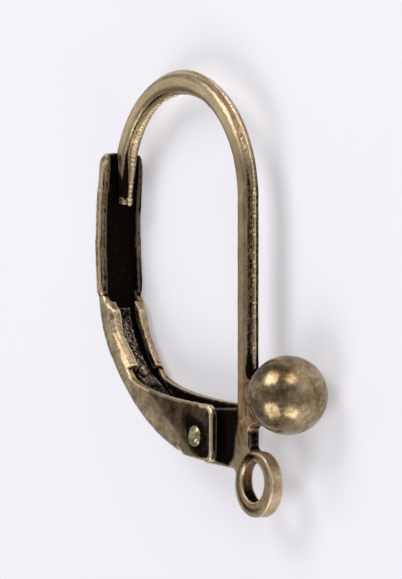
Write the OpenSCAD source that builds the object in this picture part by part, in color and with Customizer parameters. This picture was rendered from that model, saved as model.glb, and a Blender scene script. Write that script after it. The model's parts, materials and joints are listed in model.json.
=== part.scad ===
// Leverback ear wire with a ball, antique brass.
// Drawn in the plane of its hook: +X towards the ball, +Y up the earring, +Z across the wire,
// measured from the centre of the hook's arch. The finished part lies on its far side,
// on the ball and on the lever's back, and lay_down() turns it into that place.

/* [Hook] */
// Radius of the hook's arch in front, to the middle of its wire
arch_r = 4.37; // [4.2:0.01:4.6]
// Radius of the hook's arch behind its top
arch_back_r = 4.22; // [4.1:0.01:4.3]
// Width of the wire in the plane of the hook
wire_w = 0.84; // [0.76:0.01:0.9]
// Thickness of the wire across the hook
wire_t = 0.68; // [0.6:0.01:0.74]
// How far the parting ridge stands out of the wire's edges
ridge_h = 0.03; // [0.01:0.01:0.05]
// Thickness of the parting ridge
ridge_t = 0.16; // [0.1:0.01:0.2]
// Turn of the arch from the front leg to its tip
arch_turn = 160; // [156:1:162]
// Place of the tip behind the arch's centre
tip_x = -4.1; // [-4.14:0.01:-4.05]
// Lowest point of the tip
tip_y = -0.35; // [-0.6:0.01:0]
// Radius of the tip at its end
tip_r = 0.23; // [0.2:0.01:0.3]
// Slope of the cut at the tip
tip_cut = 22; // [0:1:35]

/* [Blade and ring] */
// Thickness of the flattened blade and ring
blade_t = 0.54; // [0.45:0.01:0.6]
// Radius of the round heel about the rivet
heel_r = 1.05; // [0.9:0.01:1.08]
// Height of the blade's top edge where it meets the leg
blade_top_y = -7.86; // [-8:0.01:-7.7]
// Height of the blade's lower edge where it meets the ring
blade_low_y = -10.2; // [-10.3:0.01:-10.1]
// Height at which the leg has melted into the blade
leg_end_y = -9.45; // [-9.6:0.01:-9]
// Place of the ring in front of the arch's centre
ring_x = 5.11; // [5:0.01:5.2]
// Height of the ring's centre
ring_y = -10.75; // [-10.9:0.01:-10.65]
// Outer radius of the ring
ring_r = 1.25; // [1.15:0.01:1.35]
// Radius of the ring's hole
hole_r = 0.8; // [0.6:0.01:0.85]
// How far the hole lies above the ring's centre
hole_rise = 0.1; // [0:0.01:0.15]
// How far the hole lies behind the ring's centre
hole_back = 0.05; // [0:0.01:0.1]
// Radius of the hollow corners at the neck
neck_fillet = 0.25; // [0.15:0.01:0.35]

/* [Ball] */
// Diameter of the ball
ball_d = 3; // [2.6:0.05:3.4]
// Place of the ball's centre in front of the arch's centre
ball_x = 7.05; // [6.9:0.01:7.2]
// Height of the ball's centre
ball_y = -7.31; // [-7.5:0.01:-7.1]
// Radius of the solder seat behind the ball
seat_r = 1.12; // [0.9:0.01:1.15]
// Reach of the solder down the leg, below the ball's centre
web_h = 1.36; // [1.2:0.01:1.4]
// Radius of the solder's cone inside the leg
seat_root_r = 0.42; // [0.3:0.01:0.45]
// Depth of the cone's wide end inside the ball, from the ball's centre
seat_depth = 1.25; // [1:0.01:1.3]

/* [Lever] */
// Thickness of the lever's sheet
sheet = 0.28; // [0.24:0.01:0.3]
// Half width of the cup that takes the tip
cup_half = 0.98; // [0.95:0.01:1.05]
// Depth of the cup's side walls, from its back
cup_depth = 0.48; // [0.4:0.01:0.55]
// Height of the cup's top edge
cup_top_y = 1.6; // [1.4:0.01:1.7]
// Height at which the cup starts to narrow towards its top
cup_full_y = 0.2; // [0:0.05:0.5]
// Half width of the cup at its top
cup_top_half = 0.9; // [0.85:0.01:0.98]
// Rounding of the cup's top corners
cup_corner = 0.42; // [0.3:0.01:0.5]
// Half width of the channel below the cup
arm_half = 0.9; // [0.86:0.01:0.94]
// Depth of the channel where its sides are folded in
arm_depth = 0.9; // [0.84:0.01:0.95]
// Depth of the side walls that carry the ears
ear_wall_depth = 0.72; // [0.6:0.01:0.8]
// Half width of the slot between the folded flaps
slot_half = 0.4; // [0.35:0.01:0.5]
// Radius of the folds along the lever's back
fold_r = 0.3; // [0.25:0.01:0.32]
// Radius of the lever's back behind the cup
cup_bend_r = 18; // [16:0.5:24]
// Radius of the lever's back behind the flaps
arm_bend_r = 4.98; // [4.8:0.01:5.2]
// Radius of the lever's back down to the rivet
ear_bend_r = 9.03; // [8.8:0.01:9.2]

// Front edge of the ears
ear_front_x = 3.2; // [3.1:0.01:3.25]
// Height of the ears' top edge over the rivet
ear_top_y = -7.82; // [-7.9:0.01:-7.75]
// Height of the ears' lower edge at the front
ear_low_y = -9.98; // [-10.05:0.01:-9.9]
// Rounding of the ears' upper front corners
ear_top_corner = 0.38; // [0.2:0.01:0.5]
// Rounding of the ears' lower front corners
ear_low_corner = 0.24; // [0.15:0.01:0.35]

/* [Rivet and spring] */
// Place of the rivet in front of the arch's centre
rivet_x = 2.12; // [2.08:0.01:2.2]
// Height of the rivet
rivet_y = -9.04; // [-9.08:0.01:-9]
// Radius of the rivet's shank
shank_r = 0.3; // [0.25:0.01:0.33]
// Radius of the rivet's heads
head_r = 0.43; // [0.4:0.01:0.5]
// Height of the rivet's heads
head_h = 0.16; // [0.1:0.01:0.2]
// Running clearance of the blade's hole about the shank
pin_gap = 0.06; // [0.03:0.01:0.09]
// Thickness of the leaf spring
leaf_t = 0.15; // [0.12:0.01:0.16]
// Half width of the leaf spring
leaf_half = 0.33; // [0.3:0.01:0.36]

/* [Hidden] */
$fn = 96;
brass = [0.62, 0.54, 0.4];
copper = [0.66, 0.45, 0.34];

// Overlap that joins two solids of one piece, and a length that reaches past everything
eps = 0.01;
far = 20;

// Small gap that keeps two pieces of one assembly apart
seam = 0.02;

// Headings of the lever's back, in degrees, as it runs from the cup down to the rivet
cup_top_heading = -96.4;
cup_low_heading = -90;
arm_start_heading = -86.6;
cup_foot_heading = -82.5;
knee_heading = -55;
flap_end_heading = -48;
back_end_heading = -17.5;

// Each bend of the lever is set inwards by this step from the one that it reaches into
bend_step = 0.02;

// How far a bend reaches into its neighbour, in degrees, and the cup's straight top in mm
bend_lap = 2;
top_lap = 0.1;

// Height over the ring's centre where the leg passes into it, as a share of the ring's radius
neck_foot_share = 0.9;

// Half height of the solder's web at the ball, as a share of the solder seat's radius
web_share = 0.8;

// Steps of the ears' curved upper edge, and of their back edge in degrees
bow_steps = 12;
fold_line_step = -4;

// Height at which the arch's back part is centred
arch_back_y = arch_r - arch_back_r;

// Point where the cup's back passes into the channel, and how far above it the cup's walls end
cup_foot = [-4.82, -4.1];
cup_end_gap = 0.25;

// Slanted upper end of the flaps, from its start by the back to its end at their free edges
slant_start = [-4.36, -3.86];
slant_end = [-3.86, -4.42];

// Upper edge of the ears: where it leaves the back, and the point that its curve bends towards
ear_start = [-2.52, -6.93];
ear_bow = [-1.3, -7.64];

// Lower edge of the ears: where it leaves the back fold
ear_low_start = [1.2, -9.78];

// The leaf spring: headings that it follows behind the flaps, its bend, its free play
// against the lever's back and the blade's heel, and where its end rests on the heel
leaf_from_heading = -78;
leaf_to_heading = -57;
leaf_step = 3;
leaf_bend = [-2.9, -6.85];
leaf_play = 0.03;
heel_play = 0.06;
heel_touch_at = 188;

// A bend's centre, from a point on it, the heading there and its radius, and the reverse
function bend_centre(p, heading, r) = p + r * [-sin(heading), cos(heading)];
function bend_point(c, heading, r) = c + r * [sin(heading), -cos(heading)];

// Points of a curve from a to b that bends towards a third point
function bow(a, towards, b, steps) = [for (i = [0 : steps])
    let (t = i / steps) pow(1 - t, 2) * a + 2 * t * (1 - t) * towards + t * t * b];

cup_centre = bend_centre(cup_foot, cup_foot_heading, cup_bend_r);
arm_centre = bend_centre(cup_foot, cup_foot_heading, arm_bend_r);
knee = bend_point(arm_centre, knee_heading, arm_bend_r);
ear_centre = bend_centre(knee, knee_heading, ear_bend_r);
cup_top_start = bend_point(cup_centre, cup_top_heading, cup_bend_r);

// The cup's lower half runs straight down to the channel, and the earring lies along it
cup_low_start = bend_point(cup_centre, cup_low_heading, cup_bend_r);
cup_low_run = cup_foot - cup_low_start;
cup_low_turn = atan2(cup_low_run.y, cup_low_run.x) + 90;
cup_low_length = norm(cup_low_run) - cup_end_gap;

rivet_at = [rivet_x, rivet_y];
ring_at = [ring_x, ring_y];
hole_at = [ring_x - hole_back, ring_y + hole_rise];
ball_r = ball_d / 2;
leg_front_x = arch_r + wire_w / 2;
arm_in = arm_half - sheet;

neck_foot_y = ring_y + neck_foot_share * ring_r;

// Centres of the discs that hollow the neck's corners, below the blade and in front
neck_reach = ring_r + neck_fillet;
inner_x = ring_x - ring_r / 2;
low_disc_y = blade_low_y - neck_fillet;
low_disc = [ring_x - sqrt(pow(neck_reach, 2) - pow(low_disc_y - ring_y, 2)), low_disc_y];
front_disc_x = leg_front_x + neck_fillet;
front_disc = [front_disc_x, ring_y + sqrt(pow(neck_reach, 2) - pow(front_disc_x - ring_x, 2))];

// Lying angle: the table touches the ball and the fold along the lever's back
fold_at = [cup_low_start.x + fold_r * cos(cup_low_turn), fold_r - cup_half];
fold_to_ball = [ball_x, 0] - fold_at;
lay_angle = atan2(fold_to_ball.y, fold_to_ball.x)
    + asin((fold_r - ball_r) / norm(fold_to_ball));
lay_height = ball_r + ball_x * sin(lay_angle);
lay_x = (ball_x * cos(lay_angle) + ball_r
    + (fold_at.x - fold_r) * cos(lay_angle)) / 2;
lay_y = (arch_r + wire_w / 2 + ridge_h + ring_y - ring_r) / 2;

module lay_down() {
    translate([-lay_x, -lay_y, lay_height])
        rotate([0, lay_angle, 0])
            children();
}

// Sweeps a section along a bend; the section's X is 0 at the outer surface of the bend
module bend(centre, r, from, to) {
    translate([centre.x, centre.y, 0])
        rotate([0, 0, from - 90])
            rotate_extrude(angle = to - from)
                translate([r, 0])
                    children();
}

// Turns a section in the XZ plane into a bar that runs down from its place
module bar_down(length) {
    rotate([90, 0, 0])
        linear_extrude(length)
            children();
}

module slab(thickness) {
    translate([0, 0, -thickness / 2])
        linear_extrude(thickness)
            children();
}

module wire_section() {
    flat = wire_w - wire_t;
    for (side = [-1, 1])
        translate([side * flat / 2, 0])
            circle(d = wire_t);
    square([flat, wire_t], center = true);
    square([wire_w + 2 * ridge_h, ridge_t], center = true);
}

module arch() {
    rotate_extrude(angle = 90)
        translate([arch_r, 0])
            wire_section();
    translate([0, arch_back_y, 0])
        rotate([0, 0, 90])
            rotate_extrude(angle = arch_turn - 90)
                translate([arch_back_r, 0])
                    wire_section();
}

// Tapered end of the wire, from the end of the arch down into the cup
module wire_tip() {
    arch_end = arch_back_r * [cos(arch_turn), sin(arch_turn)] + [0, arch_back_y];
    run = [tip_x, tip_y] - arch_end;
    top_r = (wire_w + wire_t) / 4;
    difference() {
        translate([arch_end.x, arch_end.y, 0])
            rotate([0, 0, atan2(run.x, -run.y)])
                rotate([90, 0, 0]) {
                    sphere(r = top_r);
                    cylinder(h = norm(run) + tip_r, r1 = top_r, r2 = tip_r);
                }
        translate([tip_x, tip_y, 0])
            rotate([0, 0, tip_cut])
                translate([-far / 2, -far, -far / 2])
                    cube(far);
    }
}

// A hollow corner: the triangle between two tangent points and the corner, less a disc
module hollow_corner(corner, first, second, disc_at, r) {
    difference() {
        polygon([corner, first, second]);
        translate(disc_at)
            circle(r);
    }
}

module neck_corners() {
    hollow_corner([inner_x, blade_low_y + eps], [low_disc.x, blade_low_y + eps],
        ring_at + (low_disc - ring_at) * ring_r / neck_reach, low_disc, neck_fillet);
    hollow_corner([leg_front_x - eps, neck_foot_y], [leg_front_x - eps, front_disc.y],
        ring_at + (front_disc - ring_at) * ring_r / neck_reach, front_disc, neck_fillet);
}

module blade_outline() {
    translate(rivet_at)
        circle(heel_r);
    polygon([
        [rivet_x, rivet_y + heel_r],
        [leg_front_x, blade_top_y],
        [leg_front_x, ring_y],
        [inner_x, ring_y],
        [inner_x, blade_low_y],
        [low_disc.x, blade_low_y],
        [rivet_x, rivet_y - heel_r],
    ]);
    translate(ring_at)
        circle(ring_r);
    neck_corners();
}

// Solder between the leg and the ball: a cone to the ball and a web along the leg
module ball_seat() {
    cone_from = arch_r + wire_t / 2;
    cone_to = ball_x - seat_depth;
    web_half = web_share * seat_r;
    translate([cone_from, ball_y, 0])
        rotate([0, 90, 0])
            cylinder(h = cone_to - cone_from, r1 = seat_root_r, r2 = seat_r);
    slab(blade_t)
        polygon([
            [arch_r, ball_y - web_h],
            [leg_front_x + ridge_h, ball_y - web_h],
            [cone_to, ball_y - web_half],
            [cone_to, ball_y + web_half],
            [arch_r, ball_y + seat_r],
        ]);
}

module ear_hook() {
    color(brass)
    difference() {
        union() {
            arch();
            translate([arch_r, 0, 0])
                bar_down(-leg_end_y)
                    wire_section();
            wire_tip();
            slab(blade_t)
                blade_outline();
            translate([ball_x, ball_y, 0])
                sphere(r = ball_r);
            ball_seat();
        }
        translate([rivet_x, rivet_y, -far / 2])
            cylinder(h = far, r = shank_r + pin_gap);
        translate([hole_at.x, hole_at.y, -far / 2])
            cylinder(h = far, r = hole_r);
    }
}

// Solid section of the lever, with its two back folds rounded
module channel_block(depth, half_w) {
    translate([-depth, -half_w])
        square([depth - fold_r, 2 * half_w]);
    translate([-depth, fold_r - half_w])
        square([depth, 2 * (half_w - fold_r)]);
    for (side = [-1, 1])
        translate([-fold_r, side * (half_w - fold_r)])
            circle(fold_r);
}

module open_section(depth, half_w) {
    difference() {
        channel_block(depth, half_w);
        translate([-far, sheet - half_w])
            square([far - sheet, 2 * (half_w - sheet)]);
    }
}

// Section below the cup: the two sides are folded in over the spring
module lipped_section(half_w) {
    inside = half_w - sheet;
    difference() {
        intersection() {
            channel_block(arm_depth + fold_r, half_w);
            translate([-arm_depth, 0])
                mirror([1, 0])
                    channel_block(far, half_w);
            translate([-arm_depth, -half_w])
                square([arm_depth, 2 * half_w]);
        }
        translate([sheet - arm_depth, -inside])
            square([arm_depth - 2 * sheet, 2 * inside]);
        translate([-far, -slot_half])
            square([far - sheet, 2 * slot_half]);
    }
}

module cup() {
    intersection() {
        union() {
            translate([cup_low_start.x, cup_low_start.y, 0])
                rotate([0, 0, cup_low_turn])
                    bar_down(cup_low_length)
                        mirror([1, 0])
                            open_section(cup_depth, cup_half);
            bend(cup_centre, cup_bend_r - bend_step, cup_top_heading, cup_low_heading + bend_lap / 2)
                open_section(cup_depth, cup_half - bend_step);
            translate([cup_top_start.x, cup_top_start.y, 0])
                rotate([0, 0, cup_top_heading + 90])
                    translate([2 * bend_step, cup_top_y, 0])
                        bar_down(cup_top_y + top_lap)
                            mirror([1, 0])
                                open_section(cup_depth, cup_half - 2 * bend_step);
        }
        rotate([0, -90, 0])
            linear_extrude(far, center = true)
                cup_front();
    }
}

// Front view of the cup, drawn with Z along X: narrower at the top, with round corners
module cup_front() {
    corner_z = cup_top_half - cup_corner;
    corner_y = cup_top_y - cup_corner;
    wide = cup_half + eps;
    polygon([
        [-wide, -far],
        [wide, -far],
        [wide, cup_full_y],
        [cup_top_half, corner_y],
        [-cup_top_half, corner_y],
        [-wide, cup_full_y],
    ]);
    translate([-corner_z, 0])
        square([2 * corner_z, cup_top_y]);
    for (side = [-1, 1])
        translate([side * corner_z, corner_y])
            circle(cup_corner);
}

module flapped_arm() {
    difference() {
        union() {
            bend(arm_centre, arm_bend_r - bend_step, arm_start_heading, knee_heading)
                lipped_section(arm_half);
            bend(ear_centre, ear_bend_r - 3 * bend_step, knee_heading - bend_lap, flap_end_heading)
                lipped_section(arm_half - 2 * bend_step);
        }
        flap_slant();
    }
}

// Slanted upper ends of the two flaps
module flap_slant() {
    clear = [arm_depth, cup_depth + arm_depth];
    slab(far)
        polygon([
            slant_start,
            slant_end,
            slant_end + [clear.x, 0],
            slant_end + clear,
            [slant_start.x, slant_end.y + clear.y],
        ]);
}

// Side view of an ear, down to the inside of the back fold
module ear_outline() {
    top_at = [ear_front_x - ear_top_corner, ear_top_y - ear_top_corner];
    low_at = [ear_front_x - ear_low_corner, ear_low_y + ear_low_corner];
    fold_line = [for (heading = [back_end_heading : fold_line_step : flap_end_heading])
        bend_point(ear_centre, heading, ear_bend_r - fold_r)];
    polygon(concat(
        bow(ear_start, ear_bow, [top_at.x, ear_top_y], bow_steps),
        [
            [ear_front_x, top_at.y],
            [ear_front_x, low_at.y],
            [low_at.x, ear_low_y],
            ear_low_start,
        ],
        fold_line
    ));
    translate(top_at)
        circle(ear_top_corner);
    translate(low_at)
        circle(ear_low_corner);
}

module ears() {
    bend(ear_centre, ear_bend_r - 2 * bend_step, knee_heading - bend_lap, back_end_heading)
        open_section(ear_wall_depth, arm_half - bend_step);
    for (side = [0, 1])
        mirror([0, 0, side])
            translate([0, 0, arm_in])
                linear_extrude(sheet)
                    ear_outline();
}

module lever() {
    color(brass)
    difference() {
        union() {
            cup();
            flapped_arm();
            ears();
        }
        translate([rivet_x, rivet_y, -far / 2])
            cylinder(h = far, r = shank_r + seam);
    }
}

// Points on one side of a strip, at a distance from its middle line
function strip_side(line, away) = [for (i = [0 : len(line) - 1])
    let (run = line[min(i + 1, len(line) - 1)] - line[max(i - 1, 0)])
    line[i] + away * [-run.y, run.x] / norm(run)];

function backwards(list) = [for (i = [len(list) - 1 : -1 : 0]) list[i]];

module spring() {
    leaf_r = arm_bend_r - sheet - leaf_play - leaf_t / 2;
    heel_reach = heel_r + heel_play + leaf_t / 2;
    line = concat(
        [for (heading = [leaf_from_heading : leaf_step : leaf_to_heading])
            bend_point(arm_centre, heading, leaf_r)],
        [leaf_bend, rivet_at + heel_reach * [cos(heel_touch_at), sin(heel_touch_at)]]
    );
    color(copper)
    slab(2 * leaf_half)
        polygon(concat(strip_side(line, leaf_t / 2), backwards(strip_side(line, -leaf_t / 2))));
}

// Half of the rivet above the middle plane: shank and peened head
module rivet_half() {
    dome_r = (pow(head_r, 2) + pow(head_h, 2)) / (2 * head_h);
    head_z = arm_half + seam;
    cylinder(h = head_z + head_h / 2, r = shank_r);
    translate([0, 0, head_z])
        intersection() {
            cylinder(h = head_h, r = head_r);
            translate([0, 0, head_h - dome_r])
                sphere(r = dome_r);
        }
}

module rivet() {
    color(brass)
    translate([rivet_x, rivet_y, 0])
        for (side = [0, 1])
            mirror([0, 0, side])
                rivet_half();
}

lay_down() ear_hook();
lay_down() lever();
lay_down() spring();
lay_down() rivet();
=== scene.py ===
import json
import math
from functools import partial
from types import SimpleNamespace

import bmesh
import bpy
import numpy as np
from bpy.props import FloatProperty, FloatVectorProperty, IntProperty, PointerProperty
from bpy.types import Operator, Panel, PropertyGroup
from mathutils import Matrix, Vector, noise
from mathutils.bvhtree import BVHTree


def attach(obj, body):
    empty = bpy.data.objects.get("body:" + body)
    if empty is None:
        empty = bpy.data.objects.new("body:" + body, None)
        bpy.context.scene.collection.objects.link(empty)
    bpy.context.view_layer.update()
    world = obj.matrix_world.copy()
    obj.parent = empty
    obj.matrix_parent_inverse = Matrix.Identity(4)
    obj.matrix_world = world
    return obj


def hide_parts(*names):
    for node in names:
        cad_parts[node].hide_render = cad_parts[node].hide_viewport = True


bl_info = {
    "name": "Leverback earring",
    "version": (1, 0, 0),
    "blender": (4, 5, 0),
    "location": "3D View > Sidebar > Earring",
    "description": "Antique brass leverback ear wire with a ball, shaped and finished around its solids",
    "category": "Object",
}

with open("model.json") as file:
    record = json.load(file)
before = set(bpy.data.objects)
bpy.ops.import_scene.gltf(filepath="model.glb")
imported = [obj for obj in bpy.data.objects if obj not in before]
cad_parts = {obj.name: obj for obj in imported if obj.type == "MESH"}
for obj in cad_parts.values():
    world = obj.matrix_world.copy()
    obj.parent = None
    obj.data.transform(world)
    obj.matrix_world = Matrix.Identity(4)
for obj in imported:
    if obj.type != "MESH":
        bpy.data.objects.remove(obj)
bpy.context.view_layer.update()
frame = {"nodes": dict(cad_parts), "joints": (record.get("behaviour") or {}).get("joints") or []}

# The pieces are shaped in millimetres in the plane of the hook: X towards the ball, Y up the
# earring, Z across the wire, from the centre of the arch. The hinge says how that plane lies.
MM = 0.001
FLOAT = "NodeSocketFloat"
COLOUR = "NodeSocketColor"
HINGE = frame["joints"][0]
RIVET_AT = Vector((2.12, -9.04, 0.0))
RING_AT = (5.09, -10.72)
# Points round the wire's section, and steps along the leg, the arch and the taper to the tip
SECTION_POINTS = 112
LEG_STEPS = 20
ARCH_STEPS = 60
TAPER_STEPS = 24
# The wire's relative thickness at the leg's end, how much thinner its tip is, how the taper
# gains towards the tip, and the share of an inset that is left there
LEG_END_THICKNESS = 0.55
TIP_THINNER = 0.36
TAPER_GAIN = 1.4
TIP_INSET = 0.62
# Steps of the leg and arch where the outer beads start and stop, and the inner ones start
OUTER_FROM = 6
OUTER_TO = 32
INNER_FROM = 36
# How far the beads stand out as edges
BEAD_RELIEF = 0.8
# Stripes along the wire, a painted dark reflection beside the outer ridge, painted shade inside the arch
# and a bare or lit inner ridge: angle round its section from the outer ridge, and width, in radians
OUTER_SHADE_STRIPE = (0.62, 0.4)
INNER_SHADE_STRIPE = (2.35, 0.35)
BARE_OR_LIT_STRIPE = (math.pi, 0.24)
# Rays that look for walls: start above the skin, weight of the one straight out, least slope
RAY_START = 0.04
STRAIGHT_OUT = 2.5
GRAZING = 0.15
# Painted shade inside the channel, where walls stand on both sides
CHANNEL_SHADE = 1.3
# Metals of one piece each, and the reddish one that shows in the blushes
BALL_BRASS = (0.17, 0.11, 0.05)
RIVET_BRASS = (0.36, 0.31, 0.15)
RUBBED_RIVET = (0.5, 0.43, 0.24)
RUBBED_BRONZE = (0.38, 0.33, 0.28)
COPPER = (0.3, 0.1, 0.035)


def lying_place():
    """The matrix that lays the hook's plane, in millimetres, in the earring's place in metres."""
    across = Vector(HINGE["axis"]).normalized()
    up = Vector((0.0, 1.0, 0.0))
    turn = Matrix((up.cross(across), up, across)).transposed()
    place = Vector(HINGE["pos_m"]) - turn @ RIVET_AT * MM
    return Matrix.Translation(place) @ turn.to_4x4() @ Matrix.Scale(MM, 4)


LAY = lying_place()


def length(name, value, about):
    """A size in millimetres, kept as a length that the panel shows in the scene's units."""
    return FloatProperty(name=name, description=about, default=value * MM, unit="LENGTH", precision=6)


def colour(name, value, about):
    """A colour that the panel shows as a swatch."""
    return FloatVectorProperty(name=name, description=about, default=value, size=3,
                               min=0.0, max=1.0, subtype="COLOR")


def in_mm(group):
    """The lengths of a property group, in millimetres."""
    sizes = {}
    for key in group.__annotations__:
        if group.bl_rna.properties[key].unit == "LENGTH":
            sizes[key] = getattr(group, key) / MM
    return SimpleNamespace(**sizes)


class EarringWireSizes(PropertyGroup):
    arch_radius: length("Arch radius", 4.37, "Radius of the arch in front, to the middle of the wire")
    back_radius: length("Back radius", 4.22, "Radius of the arch behind its top")
    arch_turn: FloatProperty(name="Arch turn", description="Turn of the arch from the leg to the tip",
                             default=math.radians(160), subtype="ANGLE")
    width: length("Wire width", 0.86, "Width of the wire in the plane of the hook")
    thickness: length("Wire thickness", 0.7, "Thickness of the wire across the hook")
    ridge_height: length("Ridge height", 0.045, "How far the parting ridge stands out")
    ridge_width: length("Ridge width", 0.13, "Width of the parting ridge")
    tip_x: length("Tip place", -4.1, "Place of the tip behind the arch's centre")
    tip_y: length("Tip height", -0.37, "Lowest point of the tip")
    leg_end: length("Leg end", -9.5, "Height at which the leg has melted into the blade")
    leg_melt: length("Leg melt", -8.2, "Height at which the leg starts to melt into the blade")
    seam: length("Leg seam", -6.0, "Height at which the blade's skin takes over the leg")
    hole_trim: length("Hole trim", 0.045, "How far the ring's hole is drawn in")
    step: length("Sweep step", 0.06, "Spacing of the sections along the wire")
    grain: length("Blade grain", 0.031, "Edge length of the blade's finished faces")
    bead: length("Bead radius", 0.08, "Radius of the largest beads on the parting ridge")
    bead_gap: length("Bead spacing", 0.17, "Spacing of the beads along the parting ridge")
    seed: IntProperty(name="Seed", description="Seed of the beads' sizes", default=7)


class EarringBallSizes(PropertyGroup):
    x: length("Ball place", 7.05, "Place of the ball in front of the arch's centre")
    y: length("Ball height", -7.31, "Height of the ball's centre")
    radius: length("Ball radius", 1.5, "Radius of the ball")


class EarringSurface(PropertyGroup):
    finer: length("Sheet grain", 0.037, "Edge length of the finished lever's faces")
    finest: length("Trim grain", 0.02, "Edge length of the rivet's and spring's faces")
    bright: colour("Rubbed brass", (0.72, 0.565, 0.35), "Brass where wear has rubbed it bright")
    middle: colour("Antique brass", (0.31, 0.225, 0.125), "Antique brass on open faces")
    # Dark tone of patina in hollows and of painted shade
    dark: colour("Patina_And_Shade", (0.006, 0.0042, 0.003), "Patina in the hollows")
    bronze: colour("Bronze", (0.07, 0.048, 0.038), "Blackened bronze of the spring")
    # How near a wall has to be to paint shade under it
    shade_reach: length("Shelter reach", 2.2, "How near a wall has to be to keep the patina")


class EarringStage(PropertyGroup):
    view_turn: FloatProperty(name="View turn", default=math.radians(56.4), subtype="ANGLE",
                             description="Angle of the view about the earring's height")
    view_rise: FloatProperty(name="View rise", default=math.radians(2), subtype="ANGLE",
                             description="Angle of the view above the earring's middle")
    view_x: length("View centre across", 0.64, "Image centre to the right of the arch's centre")
    view_y: length("View centre down", 3.545, "Image centre below the arch's centre")
    view_width: length("View width", 15.344, "Width of the image at the earring")
    distance: length("Camera distance", 320, "Distance of the camera")
    paper: colour("Floor colour", (0.62, 0.61, 0.65), "Pale floor under the earring")
    glow: FloatProperty(name="Floor glow", description="Light from within the floor, as on a light table",
                        default=0.33, min=0.0)


# Spots of painted shade and dark reflection, with some patina, or with a negative amount painted light
# and highlights, with some patina rubbed off: x, y, z, radius, amount
# On the wire: painted shade on the tip inside the cup and beside the ball, a painted highlight at the
# tip's end, and painted light on the arch
WIRE_SHADE_AND_LIGHT_SPOTS = (
    (-4.1, -0.1, 0.3, 0.5, 0.75),
    (-4.12, 0.6, 0.2, 0.6, 0.5),
    (-4.15, 1.2, 0.0, 0.5, 0.2),
    (-4.1, -0.45, 0.0, 0.3, -4.0),
    (-3.3, 3.0, 0.3, 1.7, -0.75),
    (0.5, 4.4, 0.3, 2.2, -1.0),
    (3.4, 3.0, 0.3, 1.6, -0.6),
    (4.8, -6.4, 0.1, 0.4, 0.5),
    (4.6, -8.0, 0.3, 0.4, 0.4),
)
# On the blade and ring: painted shade between the ears, beside the leg and under the ball, and painted
# highlights on the neck and the ring's outer band
BLADE_SHADE_AND_HIGHLIGHT_SPOTS = (
    (3.25, -8.6, 0.27, 0.65, 1.1),
    (3.25, -9.5, 0.27, 0.6, 1.0),
    (2.9, -7.86, 0.25, 0.5, 0.9),
    (3.6, -7.86, 0.25, 0.4, 0.6),
    (3.9, -8.2, 0.27, 0.6, 0.35),
    (4.9, -9.6, 0.3, 0.4, 0.35),
    (5.0, -6.8, 0.2, 0.5, 0.4),
    (4.95, -7.4, 0.25, 0.4, 0.5),
    (5.2, -8.3, 0.2, 0.4, -0.3),
    (4.95, -8.95, 0.0, 0.4, 0.5),
    (5.05, -9.45, 0.1, 0.3, -0.3),
    (5.7, -9.75, 0.0, 0.4, -0.15),
    (6.33, -10.75, 0.12, 0.2, 0.6),
    (6.1, -11.3, 0.0, 0.5, -0.8),
    (6.3, -10.4, -0.1, 0.3, -0.6),
)
# On the lever: painted shade round the rivet, near the ears and on the cup's lower wall, and painted
# light on the near wall's upper face
LEVER_SHADE_AND_LIGHT_SPOTS = (
    (2.2, -9.1, 0.95, 0.62, 0.2),
    (-1.8, -7.6, 0.95, 0.5, 0.35),
    (-4.4, -3.3, -0.9, 0.6, 0.4),
    (-4.4, -0.3, -0.9, 0.5, 0.35),
    (-3.9, -4.9, 0.9, 0.5, -0.4),
    (-3.7, -5.6, 0.9, 0.6, -0.5),
    (-3.2, -6.6, 0.9, 0.6, -0.4),
    (-2.5, -7.5, 0.9, 0.45, -0.7),
    (-1.1, -8.6, 0.9, 0.6, -0.7),
    (0.2, -9.4, 0.9, 0.6, -0.7),
)
# On the spring: painted shade under the flaps, and a painted highlight on its bend
SPRING_SHADE_AND_HIGHLIGHT_SPOTS = (
    (-4.3, -4.6, 0.1, 0.5, 0.5),
    (-1.6, -7.9, 0.1, 1.0, 1.1),
    (-2.65, -6.8, 0.25, 0.3, -0.5),
)
SPRING_BLUSH = ((-2.7, -6.8, 0.2, 0.4, 1.0),)
# On the ball: a painted dark reflection, a cross across its front, and painted shade on its underside
BALL_PAINTED_REFLECTION_SPOTS = (
    (7.97, -8.2, 0.79, 0.3, 0.35),
    (8.5, -7.31, 0.0, 0.45, 0.4),
    (7.9, -8.55, 0.3, 0.55, 0.35),
    (7.5, -5.95, 0.5, 0.5, 0.3),
    (8.35, -7.33, 0.7, 0.4, 0.3),
    (8.0, -7.9, -1.0, 0.6, 0.4),
)

# The ears' front rim, and the line in the hook's plane above which their faces are dark
EAR_FRONT = 3.2
EAR_CORNER = 0.38
EAR_MIDDLE = -8.9
EAR_HALF = 1.08
EAR_SHADE_X = (-1.6, -1.0, 0.0, 1.0, 2.0, 3.0)
EAR_SHADE_Y = (-7.4, -7.95, -8.75, -9.45, -10.1, -10.4)

# Lumps of solder behind the ball: x, height from the ball's middle, radii and turn
SOLDER = (
    (5.3, -0.55, (0.62, 0.66, 0.42), 0.5),
    (5.3, 0.2, (0.5, 0.55, 0.36), -0.4),
)
# Heights over which the blade thickens, its half thicknesses, and where the web is drawn in
BLADE_HEIGHTS = (-9.3, -8.2)
BLADE_HALVES = (0.265, 0.37)
WEB_HEIGHTS = (-7.2, -6.8)

# Fine steps between the lever's bends: bend centre x, y, heading in degrees and width
LEVER_SEAMS = (
    (13.03, -1.75, -90.0, 0.7),
    (13.03, -1.75, -96.4, 0.6),
)


def both_sides(*places):
    """The places and their mirror images across the hook's plane."""
    return places + tuple((x, y, -z, radius) for x, y, z, radius in places)


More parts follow.
